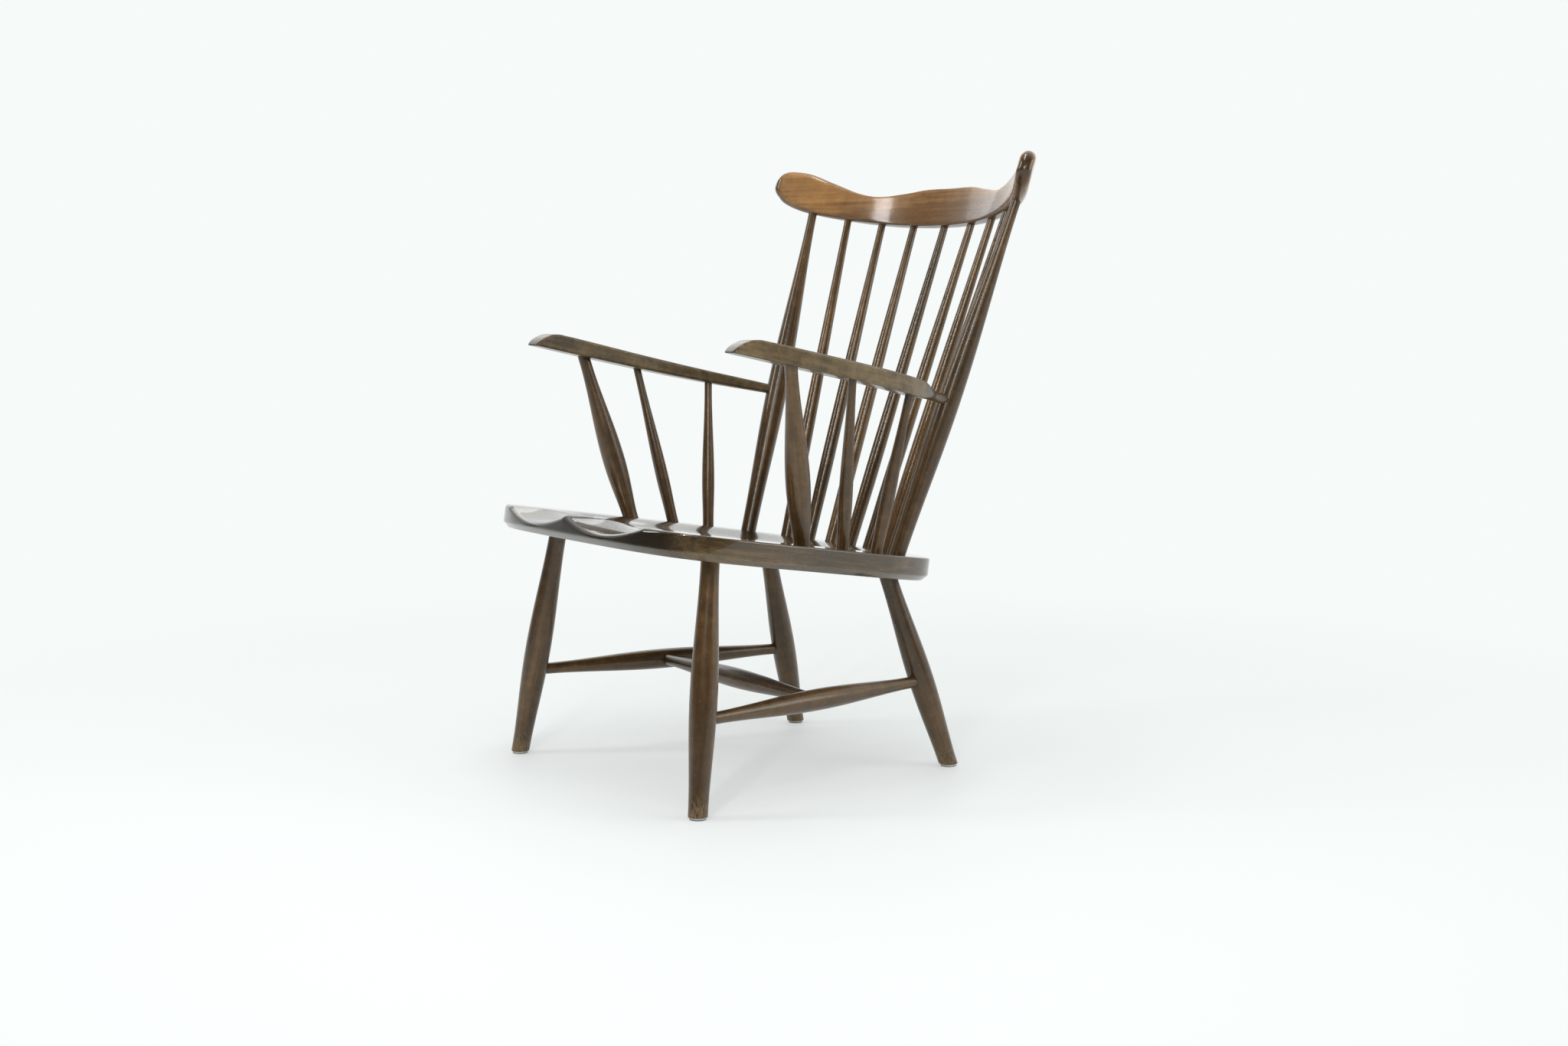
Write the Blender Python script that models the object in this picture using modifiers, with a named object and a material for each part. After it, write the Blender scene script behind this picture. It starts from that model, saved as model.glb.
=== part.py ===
# Spindle back armchair: turned members between a carved seat, two sawn arms and a bent crest rail.
# Metres, +Z up. The sitter faces -Y, and left is the sitter's own left, at +X.

import math
from collections import namedtuple

import bmesh
import bpy
from mathutils import Matrix, Vector

# Seat: a thick plank, level from side to side and lower at the back
seat_height = 0.3795
seat_y = -0.0730
seat_slope = math.radians(8.7)
seat_thickness = 0.037
seat_half_width = 0.2987
seat_front = 0.319
seat_back = 0.280
seat_chamfer = 0.009
seat_top_round = 0.003
seat_rim_flat = 0.066
dish_depth = 0.013
dish_run = 0.085
scoop_depth = 0.0185
scoop_span = 0.205
scoop_start = 0.195
scoop_run = 0.190
seat_steps = 68
seat_ring_shares = (0.10, 0.24, 0.38, 0.50, 0.60, 0.69, 0.77, 0.85, 0.93)
seat_outline_points = 720

# Seat outline: points in from the side and back from the front, then in from the side and
# forward from the back
seat_front_corner = [(0.1030, 0.0135), (0.0394, 0.0397), (0.0059, 0.0950), (0.0, 0.1836)]
seat_back_corner = [(0.0065, 0.3118), (0.0144, 0.2189), (0.0295, 0.1375),
                    (0.0645, 0.0625), (0.1290, 0.0215), (0.2184, 0.0031)]

# Sockets in the seat's rim: distance round the edge from the middle of the back, and inset from it
Socket = namedtuple("Socket", "round_edge inset")
spindle_sockets = [
    Socket(0.0, 0.0438),
    Socket(0.0551, 0.0436),
    Socket(0.1138, 0.0443),
    Socket(0.1698, 0.0515),
]
post_socket = Socket(0.2799, 0.0459)
support_sockets = {
    "rear": Socket(0.3625, 0.0383),
    "middle": Socket(0.4365, 0.0429),
    "front": Socket(0.5195, 0.0432),
}

# Legs, set in from the seat's sides and ends, at their tops and on the floor
front_leg_from_side = 0.0689
front_leg_from_front = 0.1254
back_leg_from_side = 0.1307
back_leg_from_back = 0.0890
front_foot_from_side = 0.0238
front_foot_from_front = 0.0690
back_foot_from_side = 0.0840
back_foot_from_back = 0.0045
glide_height = 0.0035
glide_radius = 0.0125
glide_pin_radius = 0.0016
glide_pin_length = 0.011
glide_edge = 0.001
glide_segments = 16
saw_block = 0.080

# Stretchers
stretcher_height = 0.1415
stretcher_tenon_stop = 0.006
cross_share = 0.5

# Crest rail: a board bent round an arc, leaning back, with a raised middle and risen ears
crest_radius = 0.455
crest_half_length = 0.3775
crest_behind_seat = 0.4346
crest_above_seat = 0.4986
crest_lean = math.radians(19.5)
crest_thickness = 0.025
crest_middle_width = 0.0635
crest_waist_width = 0.0554
crest_underside_rise = 0.0162
crest_tip_rise = 0.0814
crest_ear_drop = 0.0510
crest_ear_crown = 0.0255
crest_tip_length = 0.029
crest_end_round = 0.012
crest_tip_flat = 0.005
crest_bluntness = 4.5
crest_section_points = 14
crest_rings = 14
crest_tip_rings = 6
crest_spindle_arcs = (0.0, 0.0769, 0.1489, 0.2212)
crest_post_arc = 0.2932

# Arms: sawn boards that slope down to a round tenon in the back posts
arm_above_seat = 0.2160
arm_slope = math.radians(11.8)
arm_thickness = 0.0270
arm_length = 0.4668
arm_nose_length = 0.046
arm_nose_edge = 0.0025
arm_tenon_radius = 0.0082
arm_tenon_drop = 0.0018
arm_tenon_reach = 0.052
arm_shoulder_length = 0.060
arm_half_width = 0.0215
arm_tip_half_width = 0.0170
arm_bow = 0.0681
arm_tip_bow = 0.0531
arm_corner = 0.008
arm_widening_length = 0.148
arm_taper_length = 0.130
arm_bluntness = 6.5
arm_section_points = 12
arm_bore_segments = 16
arm_shoulder_rings = 5
arm_blade_rings = 11
arm_nose_rings = 7
arm_support_reach = {"rear": 0.1161, "middle": 0.2480, "front": 0.3585}
arm_support_offset = {"rear": -0.0036, "middle": 0.0028, "front": 0.0044}

# Joints: how far each end goes in, and the play round it
play = 0.0003
seat_socket_depth = 0.024
leg_socket_depth = 0.022
arm_socket_depth = 0.016
crest_socket_depth = 0.020
post_socket_depth = 0.014
lead = 0.007

# A turned member swells from its bottom diameter to its belly, then tapers to its top diameter
Turning = namedtuple("Turning", "bottom belly top belly_at lower_power upper_power rings segments")
front_leg_turning = Turning(0.0295, 0.0417, 0.0284, 0.470, 0.90, 0.92, 12, 16)
back_leg_turning = Turning(0.0295, 0.0405, 0.0280, 0.455, 0.80, 0.95, 12, 16)
side_stretcher_turning = Turning(0.0186, 0.0336, 0.0186, 0.500, 0.85, 0.85, 10, 16)
cross_stretcher_turning = Turning(0.0175, 0.0325, 0.0175, 0.500, 0.85, 0.85, 10, 16)
post_turning = Turning(0.0260, 0.0363, 0.0150, 0.420, 0.95, 0.83, 13, 16)
spindle_turning = Turning(0.0204, 0.0225, 0.0128, 0.220, 1.00, 0.72, 9, 12)
support_turnings = {
    "front": Turning(0.0255, 0.0376, 0.0195, 0.350, 0.64, 0.96, 10, 12),
    "middle": Turning(0.0190, 0.0217, 0.0126, 0.270, 1.00, 1.00, 9, 12),
    "rear": Turning(0.0190, 0.0217, 0.0130, 0.290, 1.00, 1.00, 9, 12),
}

sides = {"right": -1, "left": 1}

for thing in list(bpy.data.objects):
    bpy.data.objects.remove(thing, do_unlink=True)

chair = bpy.data.collections.new("spindle_back_armchair")
cutters = bpy.data.collections.new("socket_cutters")
for group in (chair, cutters):
    bpy.context.scene.collection.children.link(group)


def material(name, colour, roughness, metallic=0.0):
    finish = bpy.data.materials.new(name)
    finish.use_nodes = True
    shader = finish.node_tree.nodes["Principled BSDF"]
    shader.inputs["Base Color"].default_value = (*colour, 1.0)
    shader.inputs["Roughness"].default_value = roughness
    shader.inputs["Metallic"].default_value = metallic
    return finish


seat_finish = material("stained_beech_seat", (0.058, 0.030, 0.014), 0.28)
turned_finish = material("stained_beech_turned", (0.050, 0.026, 0.013), 0.32)
crest_finish = material("stained_beech_crest", (0.120, 0.052, 0.018), 0.28)
arm_finish = material("stained_beech_arm", (0.075, 0.045, 0.022), 0.34)
glide_finish = material("glide_plastic", (0.55, 0.54, 0.50), 0.5)


def add_mesh(name, mesh, finish, matrix=None):
    solid = bpy.data.objects.new(name, mesh)
    chair.objects.link(solid)
    mesh.materials.append(finish)
    if matrix is not None:
        solid.matrix_world = matrix
    return solid


def shade(solid, angle=35):
    solid.data.shade_smooth()
    solid.data.set_sharp_from_angle(angle=math.radians(angle))


def loft(name, rings, finish, matrix=None):
    """A closed skin over rings of equal count, with a flat face on each end."""
    bm = bmesh.new()
    loops = [[bm.verts.new(point) for point in ring] for ring in rings]
    count = len(loops[0])
    for near, far in zip(loops[:-1], loops[1:]):
        for i in range(count):
            j = (i + 1) % count
            bm.faces.new((near[i], near[j], far[j], far[i]))
    bm.faces.new(loops[0])
    bm.faces.new(loops[-1])
    bmesh.ops.recalc_face_normals(bm, faces=bm.faces)
    mesh = bpy.data.meshes.new(name)
    bm.to_mesh(mesh)
    bm.free()
    solid = add_mesh(name, mesh, finish, matrix)
    shade(solid)
    return solid


def rounded_section(half_width, half_height, bluntness, count, turn_by):
    """Points round a superellipse: 2 is an ellipse, and higher bluntness is nearer a rectangle."""
    points = []
    for k in range(count):
        angle = math.tau * (k + turn_by) / count
        c, s = math.cos(angle), math.sin(angle)
        points.append((math.copysign(abs(c) ** (2 / bluntness), c) * half_width,
                       math.copysign(abs(s) ** (2 / bluntness), s) * half_height))
    return points


def smooth_step(t):
    t = min(max(t, 0.0), 1.0)
    return t * t * (3.0 - 2.0 * t)


def swell(t, power):
    return ((1.0 - math.cos(math.pi * t)) / 2.0) ** power


def through(points, x):
    """Height at x of a smooth line through a few (x, height) points."""
    last = len(points) - 1
    k = 0
    while k < last - 1 and points[k + 1][0] <= x:
        k += 1

    def slope(i):
        before, after = points[max(i - 1, 0)], points[min(i + 1, last)]
        return (after[1] - before[1]) / (after[0] - before[0])

    span = points[k + 1][0] - points[k][0]
    t = (x - points[k][0]) / span
    start, end = points[k][1], points[k + 1][1]
    rise_in, rise_out = slope(k) * span, slope(k + 1) * span
    return ((2 * t**3 - 3 * t**2 + 1) * start + (t**3 - 2 * t**2 + t) * rise_in
            + (3 * t**2 - 2 * t**3) * end + (t**3 - t**2) * rise_out)


# Turned members

Member = namedtuple("Member", "name bottom top turning bottom_tenon top_tenon")


def member_matrix(member):
    axis = member.top - member.bottom
    return Matrix.Translation(member.bottom) @ axis.to_track_quat("Z", "Y").to_matrix().to_4x4()


def member_length(member):
    return (member.top - member.bottom).length


def member_at_height(member, z):
    axis = member.top - member.bottom
    return member.bottom + axis * ((z - member.bottom.z) / axis.z)


def turned_outline(member):
    """Distances along the axis and radii, from the bottom end to the top end."""
    turning = member.turning
    length = member_length(member)
    first, last = lead, length - lead
    belly = first + (last - first) * turning.belly_at
    lower = max(3, round(turning.rings * turning.belly_at))
    upper = turning.rings - lower
    outline = [(-member.bottom_tenon, turning.bottom / 2)]
    for k in range(lower + 1):
        t = k / lower
        radius = turning.bottom + (turning.belly - turning.bottom) * swell(t, turning.lower_power)
        outline.append((first + (belly - first) * t, radius / 2))
    for k in range(1, upper + 1):
        t = 1.0 - k / upper
        radius = turning.top + (turning.belly - turning.top) * swell(t, turning.upper_power)
        outline.append((belly + (last - belly) * (1.0 - t), radius / 2))
    outline.append((length + member.top_tenon, turning.top / 2))
    return outline


def spin(name, outline, segments, finish, matrix):
    """Turn an outline of (distance, radius) about +Z with a Screw modifier."""
    ends = [(outline[-1][0], 0.0)] + outline[::-1] + [(outline[0][0], 0.0)]
    mesh = bpy.data.meshes.new(name)
    points = [(radius, 0.0, distance) for distance, radius in ends]
    mesh.from_pydata(points, [(i, i + 1) for i in range(len(points) - 1)], [])
    solid = add_mesh(name, mesh, finish, matrix)
    screw = solid.modifiers.new("turn", "SCREW")
    screw.axis = "Z"
    screw.steps = segments
    screw.render_steps = segments
    screw.angle = math.tau
    screw.use_merge_vertices = True
    screw.merge_threshold = 0.0001
    screw.use_smooth_shade = True
    return solid


def turn(member, finish):
    return spin(member.name, turned_outline(member), member.turning.segments, finish,
                member_matrix(member))


# Sockets: each is a plain bore on its member's own axis, with the play all round it

Bore = namedtuple("Bore", "matrix radius start end segments")


def bottom_bore(member):
    return Bore(member_matrix(member), member.turning.bottom / 2 + play,
                -member.bottom_tenon - play, lead + play, member.turning.segments)


def top_bore(member):
    length = member_length(member)
    return Bore(member_matrix(member), member.turning.top / 2 + play,
                length - lead - play, length + member.top_tenon + play, member.turning.segments)


def bore(solid, bores):
    bm = bmesh.new()
    for hole in bores:
        centre = Matrix.Translation((0, 0, (hole.start + hole.end) / 2))
        bmesh.ops.create_cone(bm, cap_ends=True, segments=hole.segments, radius1=hole.radius,
                              radius2=hole.radius, depth=hole.end - hole.start,
                              matrix=hole.matrix @ centre)
    cut_with(solid, bm, solid.name + "_sockets")


def cut_with(solid, bm, name):
    mesh = bpy.data.meshes.new(name)
    bm.to_mesh(mesh)
    bm.free()
    cutter = bpy.data.objects.new(name, mesh)
    cutters.objects.link(cutter)
    cutter.hide_render = True
    cutter.display_type = "WIRE"
    cut = solid.modifiers.new(name, "BOOLEAN")
    cut.operation = "DIFFERENCE"
    cut.solver = "EXACT"
    cut.object = cutter


# Seat: drawn in its own plane, u to the left and v to the back

seat_matrix = Matrix.Translation((0, seat_y, seat_height)) @ Matrix.Rotation(-seat_slope, 4, "X")

front_points = [(seat_half_width - inward, back - seat_front) for inward, back in seat_front_corner]
back_points = [(seat_half_width - inward, seat_back - ahead) for inward, ahead in seat_back_corner]
seat_corners = [(0.0, -seat_front)] + front_points + back_points + [(0.0, seat_back)]


def chord_curve(points, steps):
    """Catmull-Rom curve round a closed loop of points, paced by the square root of each chord."""
    count = len(points)
    curve = []
    for i in range(count):
        p = [Vector(points[(i + k) % count]) for k in (-1, 0, 1, 2)]
        t = [0.0]
        for a, b in zip(p[:-1], p[1:]):
            t.append(t[-1] + math.sqrt((b - a).length))
        for step in range(steps):
            now = t[1] + (t[2] - t[1]) * step / steps

            def blend(a, b, start, end):
                return a.lerp(b, (now - t[start]) / (t[end] - t[start]))

            first = blend(p[0], p[1], 0, 1)
            second = blend(p[1], p[2], 1, 2)
            third = blend(p[2], p[3], 2, 3)
            curve.append(blend(blend(first, second, 0, 2), blend(second, third, 1, 3), 1, 2))
    return curve


def even_spacing(curve, count):
    """The closed curve again, with its points an even distance apart."""
    loop = curve + [curve[0]]
    travelled = [0.0]
    for a, b in zip(loop[:-1], loop[1:]):
        travelled.append(travelled[-1] + (b - a).length)
    spaced = []
    k = 0
    for i in range(count):
        target = travelled[-1] * i / count
        while travelled[k + 1] < target:
            k += 1
        share = (target - travelled[k]) / (travelled[k + 1] - travelled[k])
        spaced.append(loop[k].lerp(loop[k + 1], share))
    return spaced


def inset_curve(curve, distance):
    count = len(curve)
    moved = []
    for i, point in enumerate(curve):
        along = (curve[(i + 1) % count] - curve[i - 1]).normalized()
        moved.append(point + Vector((-along.y, along.x)) * distance)
    return moved


right_half = [(-u, v) for u, v in seat_corners[-2:0:-1]]
seat_outline = even_spacing(chord_curve(seat_corners + right_half, 24), seat_outline_points)


def rim_point(socket, side):
    """Where a socket's axis meets the seat's rim, on the left or the right side."""
    step = (seat_outline[1] - seat_outline[0]).length
    place = len(seat_outline) / 2 - socket.round_edge / step
    line = inset_curve(seat_outline, socket.inset)
    before = math.floor(place)
    spot = line[before].lerp(line[(before + 1) % len(line)], place - before)
    return seat_matrix @ Vector((spot.x * side, spot.y, 0.0))


def carved_depth(u, v, from_edge):
    """How far the saddle lies below the flat rim."""
    forward = smooth_step((scoop_start - (v + seat_front)) / scoop_run)
    scoop = 0.0
    if abs(u) < scoop_span:
        scoop = scoop_depth * math.sin(math.pi * abs(u) / scoop_span) ** 0.85
    bowl = dish_depth * smooth_step((from_edge - seat_rim_flat) / dish_run)
    return forward * scoop + (1.0 - forward) * bowl


def make_seat():
    edge = even_spacing(seat_outline, seat_steps)
    centre = Vector((0.0, (seat_back - seat_front) / 2))

    def carved_ring(points, lower):
        rim = []
        for point, outer in zip(points, edge):
            from_edge = (outer - point).length
            rim.append((point.x, point.y, -carved_depth(point.x, point.y, from_edge) - lower))
        return rim

    rings = []
    for share in seat_ring_shares:
        rings.append(carved_ring([centre.lerp(point, share) for point in edge], 0.0))
    rings.append(carved_ring(inset_curve(edge, seat_top_round), 0.0))
    rings.append(carved_ring(edge, seat_top_round))
    rings.append([(p.x, p.y, -seat_thickness + seat_chamfer) for p in edge])
    rings.append([(p.x, p.y, -seat_thickness) for p in inset_curve(edge, seat_chamfer)])
    return loft("seat", rings, seat_finish, seat_matrix)


# Crest rail: outlines of the flat board, as (share of its half length, height)

crest_lower_edge = [
    (0.0, 0.0),
    (0.120, crest_underside_rise * 0.04),
    (0.321, crest_underside_rise * 0.284),
    (0.578, crest_underside_rise),
    (0.783, crest_tip_rise - crest_ear_drop),
    (0.856, crest_tip_rise - crest_ear_drop * 0.853),
    (0.942, crest_tip_rise - crest_ear_drop * 0.563),
    (0.970, crest_tip_rise - crest_ear_drop * 0.378),
    (1.0, crest_tip_rise),
]
crest_upper_edge = [
    (0.0, crest_middle_width),
    (0.159, crest_middle_width),
    (0.295, crest_waist_width + (crest_middle_width - crest_waist_width) * 0.35),
    (0.433, crest_waist_width),
    (0.549, crest_waist_width + crest_ear_crown * 0.29),
    (0.702, crest_tip_rise + crest_ear_crown * 0.055),
    (0.833, crest_tip_rise + crest_ear_crown * 0.784),
    (0.922, crest_tip_rise + crest_ear_crown),
    (0.962, crest_tip_rise + crest_ear_crown * 0.953),
    (0.9897, crest_tip_rise + crest_ear_crown * 0.643),
    (1.0, crest_tip_rise),
]
crest_up = Vector((0.0, math.sin(crest_lean), math.cos(crest_lean)))
crest_middle = Vector((0.0, seat_y + crest_behind_seat, seat_height + crest_above_seat))


def crest_point(arc, rise):
    """Point on the rail's middle surface, an arc's length to the left of its centre."""
    turned = arc / crest_radius
    back = math.tan(crest_lean) * rise - crest_radius * (1.0 - math.cos(turned))
    return crest_middle + Vector((crest_radius * math.sin(turned), back, rise))


def crest_edge(points, share):
    """Height of an edge, paced by the root of the way to the tip so that the ear ends round."""
    from_tip = [(math.sqrt(1.0 - at), height) for at, height in reversed(points)]
    return through(from_tip, math.sqrt(1.0 - share))


def crest_across(arc):
    """Direction through the board's thickness, square to its lean."""
    turned = arc / crest_radius
    outward = Vector((math.sin(turned), math.cos(turned), 0.0))
    return (outward - crest_up * outward.dot(crest_up)).normalized()


def crest_seat(arc, side):
    """Where a member's axis meets the rail's underside."""
    point = crest_point(arc, crest_edge(crest_lower_edge, arc / crest_half_length))
    return Vector((point.x * side, point.y, point.z))


def crest_section(arc):
    share = arc / crest_half_length
    low, high = crest_edge(crest_lower_edge, share), crest_edge(crest_upper_edge, share)
    from_tip = min((crest_half_length - arc) / crest_end_round, 1.0)
    plump = math.sqrt(max(0.0, 1.0 - (1.0 - from_tip) ** 2))
    half_thick = max(crest_thickness * plump, crest_tip_flat) / 2
    half_tall = max((high - low) / crest_up.z, crest_tip_flat) / 2
    middle = crest_point(arc, (high + low) / 2)
    across = crest_across(arc)
    return [middle + across * a + crest_up * b
            for a, b in rounded_section(half_thick, half_tall, crest_bluntness,
                                        crest_section_points, 0.5)]


def make_crest():
    tip_steps = [1.0 - math.cos(math.pi / 2 * k / crest_tip_rings) for k in range(crest_tip_rings)]
    arcs = [crest_half_length - crest_tip_length * step for step in tip_steps]
    inner_length = crest_half_length - crest_tip_length
    arcs += [inner_length * (1.0 - k / crest_rings) for k in range(crest_rings)]
    left = [crest_section(arc) for arc in arcs]
    middle = [crest_section(0.0)]
    right = [[Vector((-p.x, p.y, p.z)) for p in ring] for ring in reversed(left)]
    return loft("crest_rail", left + middle + right, crest_finish)


# Arms: bow outward and half width along the arm, as (share of its length, distance)

arm_bow_line = [
    (0.0, 0.0),
    (0.044, arm_bow * 0.107),
    (0.089, arm_bow * 0.222),
    (0.152, arm_bow * 0.427),
    (0.218, arm_bow * 0.630),
    (0.305, arm_bow * 0.822),
    (0.412, arm_bow * 0.956),
    (0.541, arm_bow),
    (0.672, arm_bow * 0.948),
    (0.844, arm_tip_bow * 1.105),
    (1.0, arm_tip_bow),
]
arm_blade_line = [
    (0.0, arm_tenon_radius),
    (0.18, arm_half_width * 0.58),
    (0.45, arm_half_width * 0.77),
    (0.62, arm_half_width * 0.88),
    (1.0, arm_half_width),
]


def arm_matrix(side, post):
    """The arm's own frame: its joint on the post's axis, left along X, and forward along -Y."""
    joint = member_at_height(post, seat_height + arm_above_seat)
    mirrored = Matrix.Diagonal((side, 1, 1, 1))
    return Matrix.Translation(joint) @ mirrored @ Matrix.Rotation(-arm_slope, 4, "X")


def arm_tenon_end(post):
    """Reach of the tenon's end, inside the post."""
    joint = member_at_height(post, seat_height + arm_above_seat)
    return radius_at(post, (joint - post.bottom).length) - post_socket_depth


def arm_centre(reach):
    return Vector((through(arm_bow_line, reach / arm_length), -reach, 0.0))


def arm_underside(reach, offset):
    """Where a support's axis meets the arm, in the arm's own frame."""
    return arm_centre(reach) + Vector((offset, 0.0, arm_tenon_drop - arm_thickness / 2))


def arm_half_width_at(reach):
    """Tenon, then a blade that widens behind the middle and draws in to the front corners."""
    if reach <= arm_tenon_reach:
        return arm_tenon_radius
    widening = (reach - arm_tenon_reach) / arm_widening_length
    if widening < 1.0:
        return through(arm_blade_line, widening)
    from_tip = arm_length - reach
    taper = smooth_step(1.0 - from_tip / arm_taper_length)
    half = arm_half_width + (arm_tip_half_width - arm_half_width) * taper
    if from_tip < arm_corner:
        half -= arm_corner - math.sqrt(arm_corner**2 - (arm_corner - from_tip) ** 2)
    return half


def arm_section(reach):
    full = smooth_step((reach - arm_tenon_reach) / arm_shoulder_length)
    half_thick = arm_tenon_radius + (arm_thickness / 2 - arm_tenon_radius) * full
    low = arm_tenon_drop * full - half_thick
    high = arm_tenon_drop * full + half_thick
    nose_fall = arm_thickness - arm_nose_edge
    nose_radius = (arm_nose_length**2 + nose_fall**2) / (2 * nose_fall)
    into_nose = reach - (arm_length - arm_nose_length)
    if into_nose > 0:
        high -= nose_radius - math.sqrt(nose_radius**2 - into_nose**2)
    bluntness = 2.0 + (arm_bluntness - 2.0) * full
    step = 0.001
    along = arm_centre(min(reach + step, arm_length)) - arm_centre(reach - step)
    across = Vector((-along.y, along.x, 0.0)).normalized()
    centre = arm_centre(reach) + Vector((0.0, 0.0, (low + high) / 2))
    return [centre + across * a + Vector((0.0, 0.0, b))
            for a, b in rounded_section(arm_half_width_at(reach), (high - low) / 2, bluntness,
                                        arm_section_points, 0.0)]


def make_arm(side_name, post):
    shoulder_end = arm_tenon_reach + arm_shoulder_length
    blade_end = arm_length - arm_nose_length
    reaches = [arm_tenon_end(post), arm_tenon_reach * 0.5]
    for k in range(arm_shoulder_rings):
        reaches.append(arm_tenon_reach + arm_shoulder_length * k / arm_shoulder_rings)
    for k in range(arm_blade_rings):
        reaches.append(shoulder_end + (blade_end - shoulder_end) * (k / arm_blade_rings) ** 1.25)
    for k in range(arm_nose_rings + 1):
        reaches.append(arm_length - arm_nose_length * (1.0 - k / arm_nose_rings) ** 1.7)
    frame = arm_matrix(sides[side_name], post)
    rings = [[frame @ point for point in arm_section(reach)] for reach in reaches]
    return loft("arm_" + side_name, rings, arm_finish)


def arm_bore(side_name, post):
    """The arm's tenon is straight, so its bore is too."""
    frame = arm_matrix(sides[side_name], post)
    inner = frame @ arm_centre(arm_tenon_end(post))
    axis = frame @ arm_centre(arm_tenon_reach) - inner
    turned = Matrix.Translation(inner) @ axis.to_track_quat("Z", "Y").to_matrix().to_4x4()
    return Bore(turned, arm_tenon_radius + 2 * play, -play, axis.length, arm_bore_segments)


# Where every member starts and ends

def seat_underside(u, v, side):
    return seat_matrix @ Vector((u * side, v, -seat_thickness))


def floor_point(x, from_seat, side):
    return Vector((x * side, seat_y + from_seat, 0.0))


def build_members():
    members = {}
    for side_name, side in sides.items():
        front_foot = floor_point(seat_half_width - front_foot_from_side,
                                 -seat_front + front_foot_from_front, side)
        back_foot = floor_point(seat_half_width - back_foot_from_side,
                                seat_back - back_foot_from_back, side)
        front_top = seat_underside(seat_half_width - front_leg_from_side,
                                   -seat_front + front_leg_from_front, side)
        back_top = seat_underside(seat_half_width - back_leg_from_side,
                                  seat_back - back_leg_from_back, side)
        for end, foot, top, turning in (("front", front_foot, front_top, front_leg_turning),
                                        ("back", back_foot, back_top, back_leg_turning)):
            name = f"{end}_leg_{side_name}"
            members[name] = Member(name, foot, top, turning, 0.0, leg_socket_depth)
        post_name = f"back_post_{side_name}"
        members[post_name] = Member(post_name, rim_point(post_socket, side),
                                    crest_seat(crest_post_arc, side), post_turning,
                                    seat_socket_depth, crest_socket_depth)
        frame = arm_matrix(side, members[post_name])
        for place, turning in support_turnings.items():
            name = f"arm_support_{place}_{side_name}"
            top = frame @ arm_underside(arm_support_reach[place], arm_support_offset[place])
            members[name] = Member(name, rim_point(support_sockets[place], side), top, turning,
                                   seat_socket_depth, arm_socket_depth)
    for number in range(1, 8):
        offset = number - 4
        side = 1 if offset > 0 else -1
        name = f"back_spindle_{number}"
        members[name] = Member(name, rim_point(spindle_sockets[abs(offset)], side),
                               crest_seat(crest_spindle_arcs[abs(offset)], side),
                               spindle_turning, seat_socket_depth, crest_socket_depth)
    return members


def radius_at(member, distance):
    outline = turned_outline(member)
    for (d0, r0), (d1, r1) in zip(outline[:-1], outline[1:]):
        if d0 <= distance <= d1:
            return r0 + (r1 - r0) * (distance - d0) / (d1 - d0)
    return outline[-1][1]


def between(name, start_member, end_member, start, end, turning, stop):
    """A stretcher from the skin of one member to the skin of another, both met square on."""
    axis = (end - start).normalized()
    start_radius = radius_at(start_member, (start - start_member.bottom).length)
    end_radius = radius_at(end_member, (end - end_member.bottom).length)
    return Member(name, start + axis * start_radius, end - axis * end_radius, turning,
                  start_radius - stop, end_radius - stop)


members = build_members()
for side_name in sides:
    front_leg = members[f"front_leg_{side_name}"]
    back_leg = members[f"back_leg_{side_name}"]
    name = f"side_stretcher_{side_name}"
    members[name] = between(name, front_leg, back_leg, member_at_height(front_leg, stretcher_height),
                            member_at_height(back_leg, stretcher_height), side_stretcher_turning,
                            stretcher_tenon_stop)


def side_stretcher_point(side_name):
    stretcher = members[f"side_stretcher_{side_name}"]
    return stretcher.bottom.lerp(stretcher.top, cross_share)


members["cross_stretcher"] = between(
    "cross_stretcher", members["side_stretcher_right"], members["side_stretcher_left"],
    side_stretcher_point("right"), side_stretcher_point("left"), cross_stretcher_turning,
    stretcher_tenon_stop)

solids = {name: turn(member, turned_finish) for name, member in members.items()}
seat = make_seat()
crest_rail = make_crest()

# Sockets
back_members = [m for name, m in members.items() if name.startswith(("back_post", "back_spindle"))]
arm_members = [m for name, m in members.items() if name.startswith("arm_support")]
leg_members = [m for name, m in members.items() if "_leg_" in name]
bore(seat, [bottom_bore(m) for m in back_members + arm_members] + [top_bore(m) for m in leg_members])
bore(crest_rail, [top_bore(m) for m in back_members])
for side_name in sides:
    post = members[f"back_post_{side_name}"]
    arm = make_arm(side_name, post)
    bore(arm, [top_bore(members[f"arm_support_{place}_{side_name}"]) for place in support_turnings])
    bore(solids[f"back_post_{side_name}"], [arm_bore(side_name, post)])
    stretcher = members[f"side_stretcher_{side_name}"]
    bore(solids[f"front_leg_{side_name}"], [bottom_bore(stretcher)])
    bore(solids[f"back_leg_{side_name}"], [top_bore(stretcher)])
cross = members["cross_stretcher"]
bore(solids["side_stretcher_right"], [bottom_bore(cross)])
bore(solids["side_stretcher_left"], [top_bore(cross)])

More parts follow.
